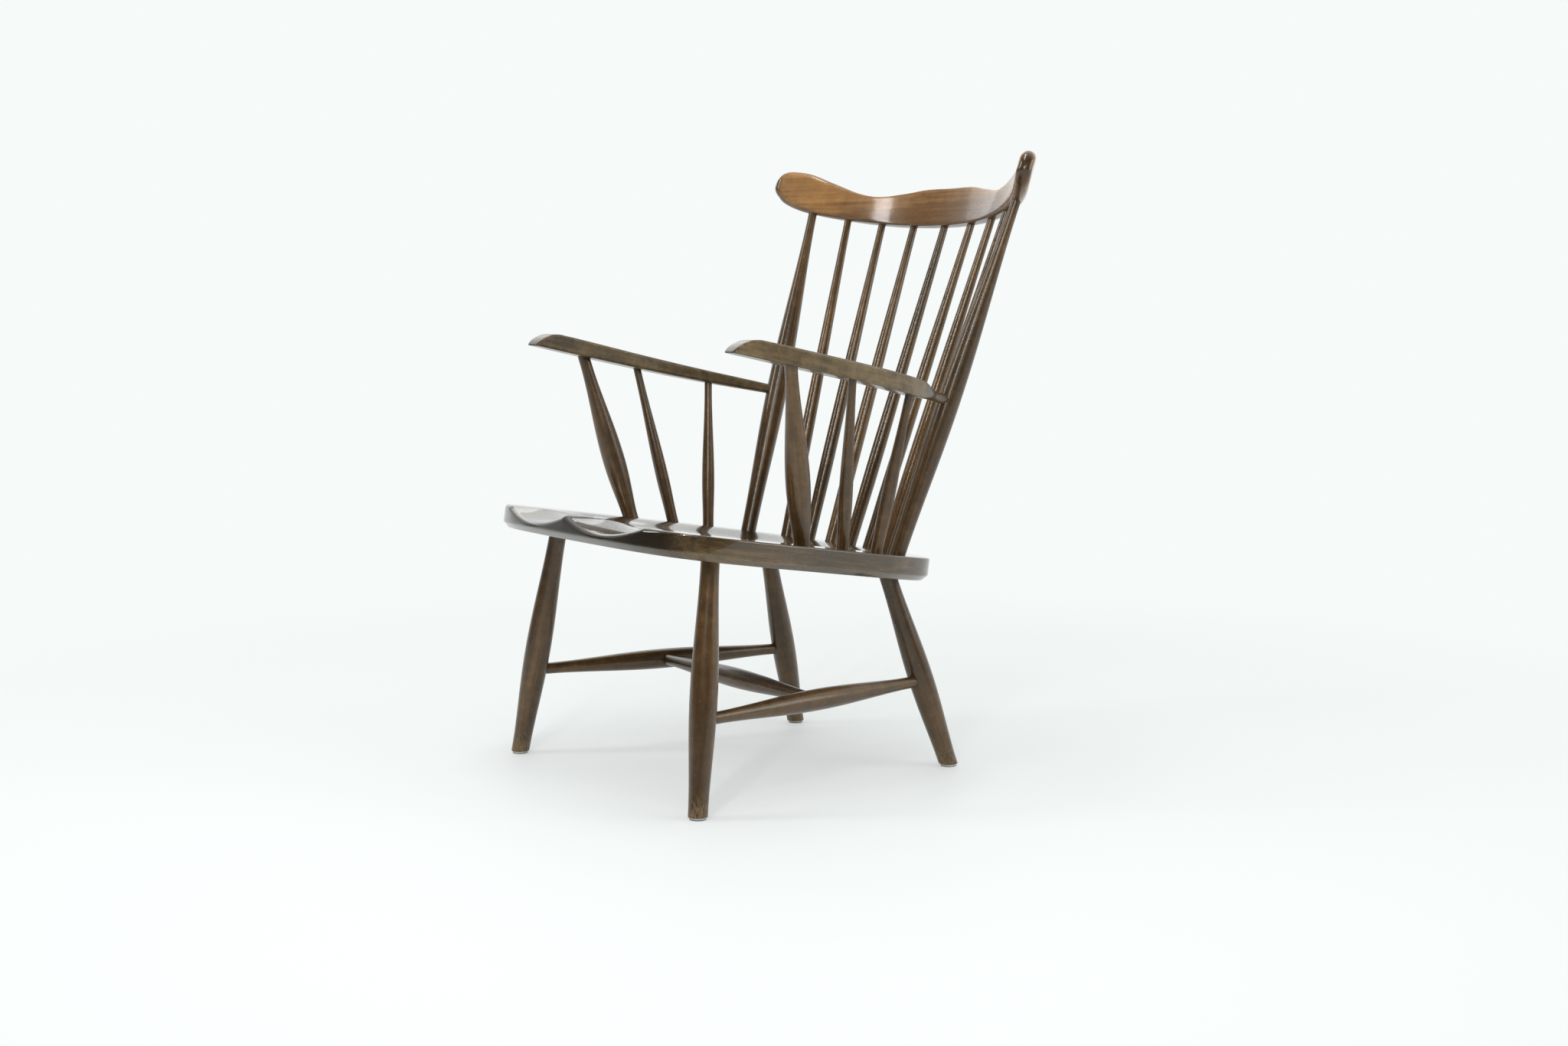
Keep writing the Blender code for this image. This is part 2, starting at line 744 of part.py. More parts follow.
# Feet: each leg is sawn level above its glide, whose pin goes up into the end grain
for name in ("front_leg_right", "front_leg_left", "back_leg_right", "back_leg_left"):
    foot = member_at_height(members[name], glide_height)
    pin_top = glide_height + glide_pin_length
    outline = [(0.0, glide_radius - glide_edge), (glide_edge, glide_radius),
               (glide_height, glide_radius), (glide_height, glide_pin_radius),
               (pin_top, glide_pin_radius)]
    place = Matrix.Translation((foot.x, foot.y, 0.0))
    spin(name.replace("_leg_", "_glide_"), outline, glide_segments, glide_finish, place)
    bm = bmesh.new()
    level = Matrix.Translation((foot.x, foot.y, glide_height + play - saw_block / 2))
    bmesh.ops.create_cube(bm, size=saw_block, matrix=level)
    cut_with(solids[name], bm, name + "_floor")
    bore(solids[name], [Bore(place, glide_pin_radius + play, glide_height - play,
                             pin_top + play, glide_segments)])
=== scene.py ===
import math

import bmesh
import bpy
from mathutils import Matrix, Vector


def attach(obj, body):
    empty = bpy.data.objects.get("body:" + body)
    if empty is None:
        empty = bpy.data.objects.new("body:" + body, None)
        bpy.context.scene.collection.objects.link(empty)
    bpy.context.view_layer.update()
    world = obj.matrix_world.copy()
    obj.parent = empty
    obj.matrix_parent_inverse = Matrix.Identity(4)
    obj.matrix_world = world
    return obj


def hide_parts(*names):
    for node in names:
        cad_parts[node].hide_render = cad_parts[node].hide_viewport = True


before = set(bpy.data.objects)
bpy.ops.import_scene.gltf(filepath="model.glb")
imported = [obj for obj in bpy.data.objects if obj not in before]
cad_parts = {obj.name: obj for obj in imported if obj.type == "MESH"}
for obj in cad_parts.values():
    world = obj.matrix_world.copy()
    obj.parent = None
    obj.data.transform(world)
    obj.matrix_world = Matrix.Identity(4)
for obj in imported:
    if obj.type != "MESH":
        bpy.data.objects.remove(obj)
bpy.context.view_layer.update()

sides = {"right": -1, "left": 1}
print("frame loaded,", len(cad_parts), "nodes")


# Camera: where the photograph was taken from
cameraPlan = {
    "spot": (2.74132, -1.90803, 0.74836),
    "tilt": 83.893,
    "turn": 54.811,
    "lens": 47.07,
}

cameraData = bpy.data.cameras.new("camera")
cameraData.lens = cameraPlan["lens"]
cameraData.sensor_width = 36.0
cameraData.clip_end = 200.0
cameraObject = bpy.data.objects.new("camera", cameraData)
cameraObject.location = cameraPlan["spot"]
cameraObject.rotation_euler = (math.radians(cameraPlan["tilt"]), 0.0, math.radians(cameraPlan["turn"]))
bpy.context.scene.collection.objects.link(cameraObject)
bpy.context.scene.camera = cameraObject
bpy.context.scene.view_settings.view_transform = "Standard"
print("camera set")


# Shader maths: a Wire is a socket that can be used in sums
class Wire:
    def __init__(self, finish, socket):
        self.finish = finish
        self.socket = socket

    def maths(self, operation, *terms):
        return self.finish.node("ShaderNodeMath", {"operation": operation}, dict(enumerate(terms)))

    def __add__(self, other):
        return self.maths("ADD", self, other)

    def __radd__(self, other):
        return self.maths("ADD", other, self)

    def __sub__(self, other):
        return self.maths("SUBTRACT", self, other)

    def __rsub__(self, other):
        return self.maths("SUBTRACT", other, self)

    def __mul__(self, other):
        return self.maths("MULTIPLY", self, other)

    def __rmul__(self, other):
        return self.maths("MULTIPLY", other, self)

    def __pow__(self, other):
        return self.maths("POWER", self, other)

    def clamped(self):
        return self.maths("MINIMUM", self.maths("MAXIMUM", self, 0.0), 1.0)

    def above(self, low, high):     # 0 below low, 1 above high, smooth between
        return self.finish.node("ShaderNodeMapRange", {"interpolation_type": "SMOOTHSTEP"},
                                {"Value": self, "From Min": low, "From Max": high})


class Finish:       # a material, or the sky when it is given the world's nodes
    def __init__(self, name, tree=None):
        self.material = None
        if tree is None:
            self.material = bpy.data.materials.new(name)
            self.material.use_nodes = True
            tree = self.material.node_tree
        self.tree = tree

    def node(self, kind, settings=None, sockets=None, output=0):
        made = self.tree.nodes.new(kind)
        for setting, value in (settings or {}).items():
            if setting == "stops":
                ramp = made.color_ramp
                while len(ramp.elements) < len(value):
                    ramp.elements.new(0.5)
                for element, (position, colour) in zip(ramp.elements, value):
                    element.position = position
                    element.color = (*colour, 1.0)
            else:
                setattr(made, setting, value)
        for socket, value in (sockets or {}).items():
            self.feed(made.inputs[socket], value)
        return Wire(self, made.outputs[output])

    def feed(self, socket, value):
        if isinstance(value, Wire):
            self.tree.links.new(value.socket, socket)
        elif isinstance(value, tuple) and len(value) == 3 and socket.type == "RGBA":
            socket.default_value = (*value, 1.0)
        else:
            socket.default_value = value

    def outputs(self, kind, sockets=None):      # every output of a new node, by its name
        made = self.node(kind, None, sockets).socket.node
        return {output.name: Wire(self, output) for output in made.outputs}

    def attribute(self, layer, output):         # output 1 is a vector, 2 is a value
        return self.node("ShaderNodeAttribute", {"attribute_name": layer}, output=output)

    def mix(self, share, first, second):        # 6 and 7 are the node's two colours
        return self.node("ShaderNodeMix", {"data_type": "RGBA"}, {0: share, 6: first, 7: second},
                         output=2)

    def noise(self, place, scale, detail, rough, warp=0.0):
        stretched = self.node("ShaderNodeMapping", None, {"Vector": place, "Scale": scale})
        return self.node("ShaderNodeTexNoise", {"noise_dimensions": "3D"},
                         {"Vector": stretched, "Scale": 1.0, "Detail": detail, "Roughness": rough,
                          "Distortion": warp})

    def shader(self, sockets):
        principled = self.tree.nodes["Principled BSDF"]
        for socket, value in sockets.items():
            self.feed(principled.inputs[socket], value)


# Stage: a plain pale floor that runs out to a white background, and soft lamps
stagePlan = {
    "floorReach": 40.0,
    "floorColour": (0.855, 0.88, 0.865),
    "floorRough": 0.6,
    "floorGlow": 0.38,          # how much of the white the floor has close to the chair
    "whiteFrom": 0.7,           # it turns all white between these distances
    "whiteFull": 2.2,
    "background": (0.925, 0.955, 0.95),
    "softLight": 0.64,          # even light from all round
    "skyDark": 0.10,            # what a gloss shows, away from the bright side and towards it
    "skyBright": 1.0,
    "brightSide": (-0.50, 0.86, 0.1),
    "brightFrom": -0.30,
    "brightFull": 0.60,
}
lampPlan = {
    "crestLamp": {"spot": (-1.26, -2.37, 2.44), "aimHeight": 0.7, "size": (0.42, 1.3), "watts": 21},
    "spindleLamp": {"spot": (1.87, -2.08, 2.05), "aimHeight": 0.7, "size": (0.11, 1.5), "watts": 17},
    "frontBank": {"spot": (2.13, -1.49, 1.97), "aimHeight": 0.7, "size": (1.8, 0.9), "watts": 13},
    "overhead": {"spot": (0.2, -0.3, 3.4), "aimHeight": 0.4, "size": (0.30, 1.8), "watts": 22.5},
    "leftWindow": {"spot": (-2.9, 0.9, 2.2), "aimHeight": 0.6, "size": (3.0, 1.0), "watts": 9.5},
    "rightBank": {"spot": (3.0, 2.4, 1.9), "aimHeight": 0.5, "size": (2.0, 2.0), "watts": 34},
}


def makeFloor():
    bm = bmesh.new()
    bmesh.ops.create_grid(bm, x_segments=1, y_segments=1, size=stagePlan["floorReach"])
    mesh = bpy.data.meshes.new("floor")
    bm.to_mesh(mesh)
    bm.free()
    floor = bpy.data.objects.new("floor", mesh)
    bpy.context.scene.collection.objects.link(floor)
    finish = Finish("floorPaint")
    place = finish.node("ShaderNodeTexCoord", output=3)
    spot = finish.outputs("ShaderNodeSeparateXYZ", {"Vector": place})
    reach = (spot["X"] * spot["X"] + spot["Y"] * spot["Y"]) ** 0.5
    whiteness = reach.above(stagePlan["whiteFrom"], stagePlan["whiteFull"])
    whiteness = stagePlan["floorGlow"] + whiteness * (1.0 - stagePlan["floorGlow"])
    rays = finish.outputs("ShaderNodeLightPath")
    seen = (rays["Is Camera Ray"] + rays["Is Glossy Ray"] + rays["Is Transmission Ray"]).clamped()
    finish.shader({"Base Color": stagePlan["floorColour"], "Roughness": stagePlan["floorRough"]})
    glow = finish.node("ShaderNodeEmission", None, {"Color": stagePlan["background"], "Strength": 1.0})
    paint = Wire(finish, finish.tree.nodes["Principled BSDF"].outputs[0])
    blend = finish.node("ShaderNodeMixShader", None, {0: whiteness * seen, 1: paint, 2: glow})
    finish.tree.links.new(blend.socket, finish.tree.nodes["Material Output"].inputs[0])
    mesh.materials.append(finish.material)


def makeWorld():        # white to the camera, brighter on one side to a gloss, even for everything else
    world = bpy.data.worlds.new("studio")
    world.use_nodes = True
    bpy.context.scene.world = world
    sky = Finish("studio", world.node_tree)
    direction = sky.node("ShaderNodeTexCoord", output=0)
    facing = sky.node("ShaderNodeVectorMath", {"operation": "DOT_PRODUCT"},
                      {0: direction, 1: stagePlan["brightSide"]}, output=1)
    level = facing.above(stagePlan["brightFrom"], stagePlan["brightFull"])
    level = stagePlan["skyDark"] + level * (stagePlan["skyBright"] - stagePlan["skyDark"])
    rays = sky.outputs("ShaderNodeLightPath")
    camera, glossy = rays["Is Camera Ray"], rays["Is Glossy Ray"]
    strength = camera + (1.0 - camera) * (glossy * level + (1.0 - glossy) * stagePlan["softLight"])
    background = sky.tree.nodes["Background"]
    sky.feed(background.inputs["Color"], stagePlan["background"])
    sky.feed(background.inputs["Strength"], strength)


def makeLamp(name, plan):
    data = bpy.data.lights.new(name, "AREA")
    data.shape = "RECTANGLE"
    data.size, data.size_y = plan["size"]
    data.energy = plan["watts"]
    lamp = bpy.data.objects.new(name, data)
    lamp.location = plan["spot"]
    aim = Vector((0.0, 0.0, plan["aimHeight"])) - Vector(plan["spot"])
    lamp.rotation_euler = aim.to_track_quat("-Z", "Y").to_euler()
    lamp.visible_camera = False
    bpy.context.scene.collection.objects.link(lamp)


makeFloor()
makeWorld()
for lampName, lamp in lampPlan.items():
    makeLamp(lampName, lamp)
print("stage and lamps set")


# Finishes: beech under a brown stain and a glossy lacquer, with bare wood where it has worn; the same
# pale wood also paints highlights, on the seat's upper chamfer edge and in small glints
beechPlans = {
    "seatBeech": {
        "dark": (0.018, 0.010, 0.0035), "mid": (0.047, 0.026, 0.008), "light": (0.122, 0.072, 0.026),
        "bare": (0.27, 0.17, 0.08), "gloss": 0.20, "specular": 0.5, "coat": 1.0, "coatRough": 0.05,
        "contrast": 1.1, "mottle": 0.3},
    "turnedBeech": {
        "dark": (0.019, 0.009, 0.003), "mid": (0.063, 0.030, 0.0085), "light": (0.140, 0.072, 0.023),
        "bare": (0.30, 0.20, 0.10), "gloss": 0.28, "specular": 0.55, "coat": 0.35, "coatRough": 0.12,
        "contrast": 0.65, "mottle": 0.8},
    "spindleBeech": {
        "dark": (0.020, 0.010, 0.0035), "mid": (0.072, 0.035, 0.010), "light": (0.150, 0.080, 0.027),
        "bare": (0.30, 0.20, 0.10), "gloss": 0.19, "specular": 0.55, "coat": 0.45, "coatRough": 0.08,
        "contrast": 0.6, "mottle": 0.6},
    "crestBeech": {
        "dark": (0.080, 0.036, 0.011), "mid": (0.150, 0.070, 0.021), "light": (0.375, 0.190, 0.066),
        "bare": (0.38, 0.26, 0.14), "gloss": 0.28, "specular": 0.3, "coat": 0.9, "coatRough": 0.10,
        "contrast": 0.6, "mottle": 0.4},
    "armBeech": {
        "dark": (0.042, 0.027, 0.010), "mid": (0.096, 0.063, 0.027), "light": (0.160, 0.108, 0.052),
        "bare": (0.46, 0.36, 0.23), "gloss": 0.32, "specular": 0.4, "coat": 0.5, "coatRough": 0.12,
        "contrast": 1.0, "mottle": 1.6},
}
patternPlan = {         # scales across, through and along the grain, then detail, roughness and warp
    "figure": ((15.0, 15.0, 2.6), 3.0, 0.5, 0.7),
    "streaks": ((170.0, 170.0, 5.5), 4.0, 0.6),
    "flecks": ((2000.0, 2000.0, 230.0), 2.0, 0.5),
    "stains": ((75.0, 75.0, 16.0), 3.0, 0.6),
    # specks: pale nicks in the stain, which also stand in for tiny painted glints on the lacquer
    "specks": ((520.0, 520.0, 130.0), 2.0, 0.6),
    "rubbing": ((240.0, 240.0, 60.0), 3.0, 0.7),
    "scuffs": ((900.0, 900.0, 120.0), 5.0, 0.75),
    "haze": ((40.0, 40.0, 8.0), 3.0, 0.6),
    # these don't follow the grain
    "mottling": ((60.0, 60.0, 60.0), 3.0, 0.6),
    "patches": ((45.0, 45.0, 30.0), 2.0, 0.6),
    "peel": ((420.0, 420.0, 420.0), 2.0, 0.5),
}
markPlan = {            # where on its pattern a mark starts and is full, and how far it covers
    "flecks": (0.58, 0.68, 0.45),
    "stains": (0.66, 0.76, 0.55),
    "specks": (0.69, 0.75, 0.50),
    "rubbed": (0.55, 0.95, 0.60),
    "scuffed": (0.72, 0.92, 0.62),
    "pores": (0.52, 0.66, 0.70),
}
stainPlan = {
    "toneStops": (0.05, 0.5, 0.98),
    "figureTone": 2.1,
    "streakTone": 1.3,
    "endGrainTone": 0.3,
    "endGrainGain": 1.5,
    "endGrainCover": 0.85,
    "endGrainShade": 0.4,
    "rubbingSpread": 0.9,
    "footScuffHeights": (0.004, 0.075),
    "footScuff": 0.11,
    "footPatches": 0.38,
    "hazeRough": 0.10,
    "scuffRough": 0.25,
    "rubbedRough": 0.12,
    "peelHeight": 0.00002,
    "streakHeight": 0.00003,
    "poreDepth": 0.00003,
    "scuffDepth": 0.00012,
    "indexOfRefraction": 1.5,
    "glossTint": (1.0, 0.95, 0.80),
}


def makeBeech(name, plan):
    finish = Finish(name)
    grain = finish.attribute("grain", 1)
    wear, endGrain, faded = (finish.attribute(layer, 2) for layer in ("wear", "endGrain", "faded"))
    place = finish.node("ShaderNodeTexCoord", output=3)
    height = finish.outputs("ShaderNodeSeparateXYZ", {"Vector": place})["Z"]

    def pattern(kind, spot=grain):
        return finish.noise(spot, *patternPlan[kind])

    def marked(kind, values):
        start, full, cover = markPlan[kind]
        return values.above(start, full), cover

    figure, streaks, flecks = pattern("figure"), pattern("streaks"), pattern("flecks")
    tone = 0.5 + ((figure - 0.5) * stainPlan["figureTone"]
                  + (streaks - 0.5) * stainPlan["streakTone"]) * plan["contrast"]
    # the crest's painted top light and painted rim shade come in here, with its ear and tip tone
    tone = tone - endGrain * stainPlan["endGrainTone"] + faded
    tone = tone + (pattern("mottling", place) - 0.5) * plan["mottle"]
    stops = list(zip(stainPlan["toneStops"], (plan["dark"], plan["mid"], plan["light"])))
    colour = finish.node("ShaderNodeValToRGB", {"stops": stops}, {"Fac": tone.clamped()})
    for kind, values in (("flecks", flecks), ("stains", pattern("stains"))):
        mask, cover = marked(kind, values)
        colour = finish.mix(mask * cover, colour, plan["dark"])
    shaded = tuple(part * stainPlan["endGrainShade"] for part in plan["dark"])
    colour = finish.mix((endGrain * stainPlan["endGrainGain"]).clamped() * stainPlan["endGrainCover"],
                        colour, shaded)

    # bare wood shows in specks, at rubbed edges and at the scuffed feet; the specks are partly painted
    # glints, and the seat's upper chamfer edge is partly a painted highlight line
    wornAndHighlight = wear + (pattern("rubbing") - 0.5) * stainPlan["rubbingSpread"]
    low = 1.0 - height.above(*stainPlan["footScuffHeights"])
    low = low * (stainPlan["footScuff"] + pattern("patches", place) * stainPlan["footPatches"])
    masks = {}
    bareAndHighlightMarks = {"specks": pattern("specks"), "rubbed": wornAndHighlight, "scuffed": pattern("scuffs") + low}
    for kind, values in bareAndHighlightMarks.items():
        masks[kind], cover = marked(kind, values)
        colour = finish.mix(masks[kind] * cover, colour, plan["bare"])
    rubbed, scuffed = masks["rubbed"], masks["scuffed"]
    pores, poreCover = marked("pores", flecks)

    rough = plan["gloss"] + (pattern("haze") - 0.5) * stainPlan["hazeRough"]
    rough = rough + scuffed * stainPlan["scuffRough"] + rubbed * stainPlan["rubbedRough"]
    relief = pattern("peel", place) * stainPlan["peelHeight"] + streaks * stainPlan["streakHeight"]
    relief = relief - pores * stainPlan["poreDepth"] - scuffed * stainPlan["scuffDepth"]
    bump = finish.node("ShaderNodeBump", None, {"Height": relief, "Strength": 1.0, "Distance": 1.0})
    finish.shader({"Base Color": colour, "Roughness": rough.clamped(), "Normal": bump,
                   "IOR": stainPlan["indexOfRefraction"], "Specular IOR Level": plan["specular"],
                   "Specular Tint": stainPlan["glossTint"],
                   "Coat Weight": plan["coat"] * (1.0 - scuffed) * (1.0 - pores * poreCover),
                   "Coat Roughness": plan["coatRough"]})
    return finish.material


glidePlasticPlan = {
    "pale": (0.62, 0.61, 0.56),
    "dirty": (0.36, 0.33, 0.28),
    # the sole colour is a painted contact shadow under the glide, over its lowest one to two millimetres
    "sole": (0.025, 0.022, 0.018),
    "soleHeights": (0.0010, 0.0020),
    "dirt": ((260.0, 260.0, 260.0), 3.0, 0.6),
    "dirtRange": (0.45, 0.75),
    "dirtCover": 0.5,
    "dirtHeight": 0.00005,
    "gloss": 0.42,
    "dirtRough": 0.2,
}


def makeGlidePlastic(plan):
    finish = Finish("glidePlastic")
    place = finish.node("ShaderNodeTexCoord", output=3)
    height = finish.outputs("ShaderNodeSeparateXYZ", {"Vector": place})["Z"]
    dirt = finish.noise(place, *plan["dirt"])
    colour = finish.mix(dirt.above(*plan["dirtRange"]) * plan["dirtCover"], plan["pale"], plan["dirty"])
    # painted contact shadow: the bottom of the glide is painted near black
    colour = finish.mix(1.0 - height.above(*plan["soleHeights"]), colour, plan["sole"])
    bump = finish.node("ShaderNodeBump", None, {"Height": dirt * plan["dirtHeight"], "Distance": 1.0})
    finish.shader({"Base Color": colour, "Roughness": plan["gloss"] + dirt * plan["dirtRough"],
                   "Normal": bump})
    return finish.material


finishes = {name: makeBeech(name, plan) for name, plan in beechPlans.items()}
finishes["glidePlastic"] = makeGlidePlastic(glidePlasticPlan)
print("finishes made")


# Mesh helpers
mergeDistance = 0.00001


def smoothStep(t):
    t = min(max(t, 0.0), 1.0)
    return t * t * (3.0 - 2.0 * t)


def swell(t, power):
    return ((1.0 - math.cos(math.pi * t)) / 2.0) ** power


def through(points, x):     # height at x of a smooth line through a few points
    last = len(points) - 1
    k = 0
    while k < last - 1 and points[k + 1][0] <= x:
        k += 1

    def slope(i):
        before, after = points[max(i - 1, 0)], points[min(i + 1, last)]
        return (after[1] - before[1]) / (after[0] - before[0])

    span = points[k + 1][0] - points[k][0]
    t = (x - points[k][0]) / span
    riseIn, riseOut = slope(k) * span, slope(k + 1) * span
    return ((2 * t**3 - 3 * t**2 + 1) * points[k][1] + (t**3 - 2 * t**2 + t) * riseIn
            + (3 * t**2 - 2 * t**3) * points[k + 1][1] + (t**3 - t**2) * riseOut)


def roundedSection(share, halfWidth, halfHeight, backRadius, frontRadius):
    # a rectangle with round corners; each quarter is a flat side, a corner and a flat end
    sideEnd, cornerEnd, cornerRoom = 5 / 18, 17 / 18, 0.97
    quarter = share * 4.0
    atFront = 1.0 < quarter < 3.0
    radius = min(frontRadius if atFront else backRadius, halfWidth * cornerRoom, halfHeight * cornerRoom)
    within = quarter % 1.0
    if int(quarter) % 2 == 1:
        within = 1.0 - within
    if within < sideEnd:
        across, up = halfWidth, (halfHeight - radius) * within / sideEnd
    elif within < cornerEnd:
        angle = (within - sideEnd) / (cornerEnd - sideEnd) * math.pi / 2
        across = halfWidth - radius * (1.0 - math.cos(angle))
        up = halfHeight - radius * (1.0 - math.sin(angle))
    else:
        across, up = (halfWidth - radius) * (1.0 - within) / (1.0 - cornerEnd), halfHeight
    return (-across if atFront else across), (-up if quarter > 2.0 else up)


def lofted(stations, around, place):
    # a grid with one row for each station, moved onto its surface and closed up
    bm = bmesh.new()
    bmesh.ops.create_grid(bm, x_segments=len(stations) - 1, y_segments=around, size=0.5)
    grain = bm.verts.layers.float_vector.new("grain")
    wear = bm.verts.layers.float.new("wear")
    faded = bm.verts.layers.float.new("faded")
    last = len(stations) - 1
    for vert in bm.verts:
        station = stations[round((vert.co.x + 0.5) * last)]
        vert.co, vert[grain], vert[wear], vert[faded] = place(station, (vert.co.y + 0.5) % 1.0)
    bmesh.ops.remove_doubles(bm, verts=bm.verts, dist=mergeDistance)
    closeUp(bm)
    return bm


def closeUp(bm):
    rims = [edge for edge in bm.edges if edge.is_boundary]
    bmesh.ops.holes_fill(bm, edges=rims, sides=0)
    bmesh.ops.recalc_face_normals(bm, faces=bm.faces)


def pieceName(node):        # front_leg_left becomes frontLegLeft
    words = node.split("_")
    return words[0] + "".join(word.capitalize() for word in words[1:])


def finishPiece(name, bm, finishName, node, grainAxis, shift, sharp=40):
    # shift starts each piece at its own place in the timber; the axis can change from spot to spot
    bm.normal_update()
    grain = bm.verts.layers.float_vector["grain"]
    endGrain = bm.verts.layers.float.new("endGrain")
    for vert in bm.verts:
        along = grainAxis(vert.co) if callable(grainAxis) else grainAxis
        vert[endGrain] = abs(vert.normal.dot(along)) ** 3
        vert[grain] = vert[grain] + shift
    mesh = bpy.data.meshes.new(name)
    bm.to_mesh(mesh)
    bm.free()
    mesh.shade_smooth()
    mesh.set_sharp_from_angle(angle=math.radians(sharp))
    mesh.materials.append(finishes[finishName])
    piece = bpy.data.objects.new(name, mesh)
    bpy.context.scene.collection.objects.link(piece)
    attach(piece, "root")
    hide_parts(node)


# Seat: drawn in its own plane, u to the left and v to the back
seatPlan = {
    "height": 0.3795,
    "y": -0.0730,
    "slope": 8.7,
    "thickness": 0.037,
    "halfWidth": 0.2987,
    "front": 0.319,
    "back": 0.280,
    "frontCorner": [(0.1030, 0.0135), (0.0394, 0.0397), (0.0059, 0.0950), (0.0, 0.1836)],
    "backCorner": [(0.0065, 0.3118), (0.0144, 0.2189), (0.0295, 0.1375),
                   (0.0645, 0.0625), (0.1290, 0.0215), (0.2184, 0.0031)],
    "chamfer": 0.009,
    "topRound": 0.003,
    "frontRound": 0.0085,
    "softTo": 0.060,        # the front's rounder edge fades out this far back
    "edgeRound": 0.0008,
    "rimFlat": 0.066,
    "dishDepth": 0.013,
    "dishRun": 0.085,
    "scoopDepth": 0.0185,
    "scoopPower": 0.85,
    "scoopSpan": 0.205,
    "scoopStart": 0.195,
    "scoopRun": 0.190,
    "rimWear": 0.30,
    # the chamfer's two edges: how far in and up from each, in edge rounds, and the wear there; the upper
    # edge's strongest wear is partly a painted highlight line along it
    "upperEdge": [(0.0, 5.0, 0.0), (0.0, 1.0, 0.3), (0.15, 0.15, 0.85),
                  (0.7, -0.7, 0.3), (3.0, -3.0, 0.0)],
    "lowerEdge": [(-1.0, 1.0, 0.2), (-0.1, 0.25, 0.5), (1.0, 0.0, 0.2)],
    "curveSteps": 24,
    "outlinePoints": 720,
    "around": 600,
    "topRings": 84,
    "roundRings": 8,
    "underRings": (0.9, 0.6, 0.3, 0.0),
    "timberSpot": (0.31, 0.12, 0.4),
}
seatMatrix = (Matrix.Translation((0, seatPlan["y"], seatPlan["height"]))
              @ Matrix.Rotation(-math.radians(seatPlan["slope"]), 4, "X"))


def chordCurve(points, steps):
    # Catmull-Rom curve round a closed loop, paced by the square root of each chord
    curve = []
    for i in range(len(points)):
        p = [Vector(points[(i + k) % len(points)]) for k in (-1, 0, 1, 2)]
        t = [0.0]
        for a, b in zip(p[:-1], p[1:]):
            t.append(t[-1] + math.sqrt((b - a).length))
        for step in range(steps):
            now = t[1] + (t[2] - t[1]) * step / steps

            def between(a, b, start, end):
                return a.lerp(b, (now - t[start]) / (t[end] - t[start]))

            first = between(p[0], p[1], 0, 1)
            second = between(p[1], p[2], 1, 2)
            third = between(p[2], p[3], 2, 3)
            curve.append(between(between(first, second, 0, 2), between(second, third, 1, 3), 1, 2))
    return curve


def evenSpacing(curve, count):
    loop = curve + [curve[0]]
    travelled = [0.0]
    for a, b in zip(loop[:-1], loop[1:]):
        travelled.append(travelled[-1] + (b - a).length)
    spaced = []
    k = 0
    for i in range(count):
        target = travelled[-1] * i / count
        while travelled[k + 1] < target:
            k += 1
        share = (target - travelled[k]) / (travelled[k + 1] - travelled[k])
        spaced.append(loop[k].lerp(loop[k + 1], share))
    return spaced


def insetCurve(curve, distance):        # the curve runs so that its left is inward
    moved = []
    for i, point in enumerate(curve):
        along = (curve[(i + 1) % len(curve)] - curve[i - 1]).normalized()
        moved.append(point + Vector((-along.y, along.x)) * distance)
    return moved


def makeSeatOutline():
    half, front, back = seatPlan["halfWidth"], seatPlan["front"], seatPlan["back"]
    corners = [(0.0, -front)]
    corners += [(half - inward, behind - front) for inward, behind in seatPlan["frontCorner"]]
    corners += [(half - inward, back - ahead) for inward, ahead in seatPlan["backCorner"]]
    corners.append((0.0, back))
    mirrored = [(-u, v) for u, v in corners[-2:0:-1]]
    return evenSpacing(chordCurve(corners + mirrored, seatPlan["curveSteps"]), seatPlan["outlinePoints"])


seatOutline = makeSeatOutline()


def rimPoint(roundEdge, inset, side):       # a spot on the rim, by its way round the edge from the back
    step = (seatOutline[1] - seatOutline[0]).length
    spotIndex = len(seatOutline) / 2 - roundEdge / step
    line = insetCurve(seatOutline, inset)
    before = math.floor(spotIndex)
    spot = line[before].lerp(line[(before + 1) % len(line)], spotIndex - before)
    return seatMatrix @ Vector((spot.x * side, spot.y, 0.0))


def carvedDepth(u, v, fromEdge):        # two scoops at the front that run into a dish behind
    plan = seatPlan
    forward = smoothStep((plan["scoopStart"] - (v + plan["front"])) / plan["scoopRun"])
    scoop = 0.0
    if abs(u) < plan["scoopSpan"]:
        scoop = plan["scoopDepth"] * math.sin(math.pi * abs(u) / plan["scoopSpan"]) ** plan["scoopPower"]
    bowl = plan["dishDepth"] * smoothStep((fromEdge - plan["rimFlat"]) / plan["dishRun"])
    return forward * scoop + (1.0 - forward) * bowl


